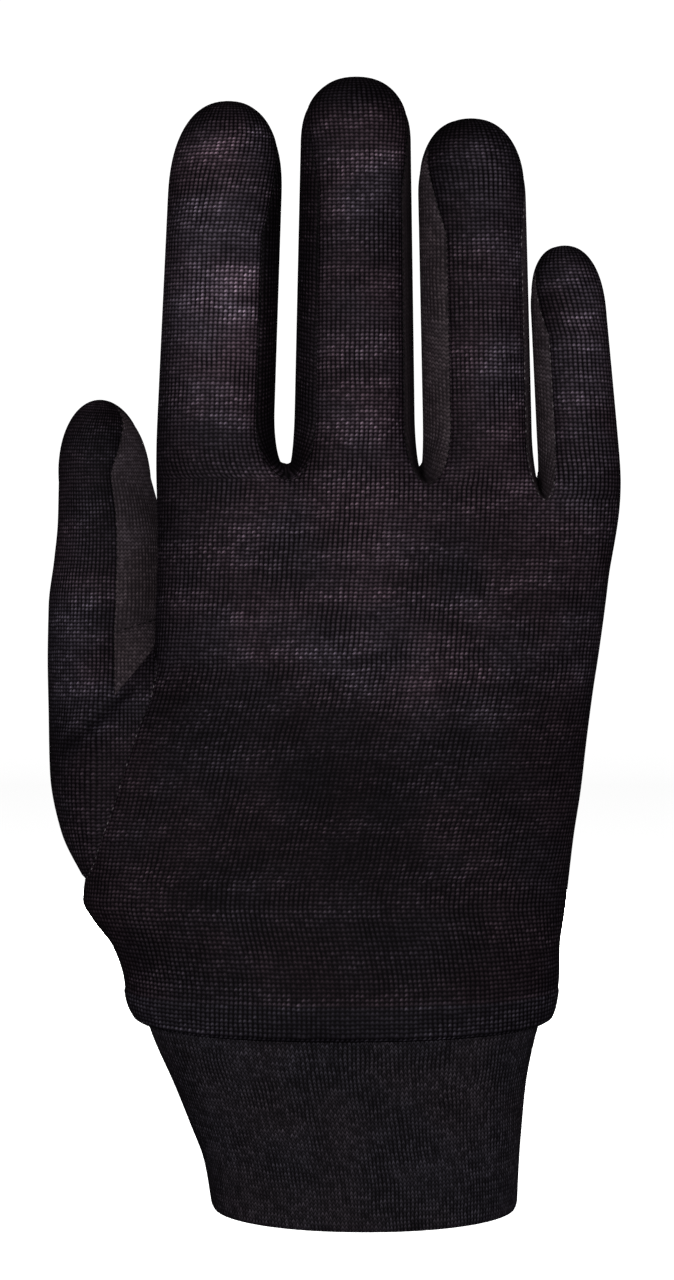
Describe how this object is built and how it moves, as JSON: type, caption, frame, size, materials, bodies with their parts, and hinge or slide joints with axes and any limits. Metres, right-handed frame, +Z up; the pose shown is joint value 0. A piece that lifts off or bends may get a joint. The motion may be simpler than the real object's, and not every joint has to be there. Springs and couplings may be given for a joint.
{
  "type": "glove liner",
  "caption": "Thin black knitted glove liner for a right hand, with fourchettes between the fingers, a set-in thumb and a short heavier-knit cuff.",
  "frame": {"origin": "middle of the wrist opening at the cuff's lower edge", "axes": "+Z up the hand to the fingertips, +X to the little finger's side, +Y to the palm"},
  "size_m": [0.1153, 0.0428, 0.2292],
  "materials": {
    "knit": "fine black jersey knit with a faint warm sheen",
    "side_knit": "the same jersey seen flat on, plainer and a little lighter",
    "cuff_knit": "heavier matte black knit"
  },
  "bodies": {
    "root": {"back_panel": "knit", "palm_panel": "knit", "fourchette_index_middle": "side_knit", "fourchette_middle_ring": "side_knit", "fourchette_ring_little": "side_knit", "thumb": "knit", "thumb_side_panel": "side_knit", "thumb_gusset": "side_knit", "cuff": "cuff_knit"}
  },
  "joints": []
}
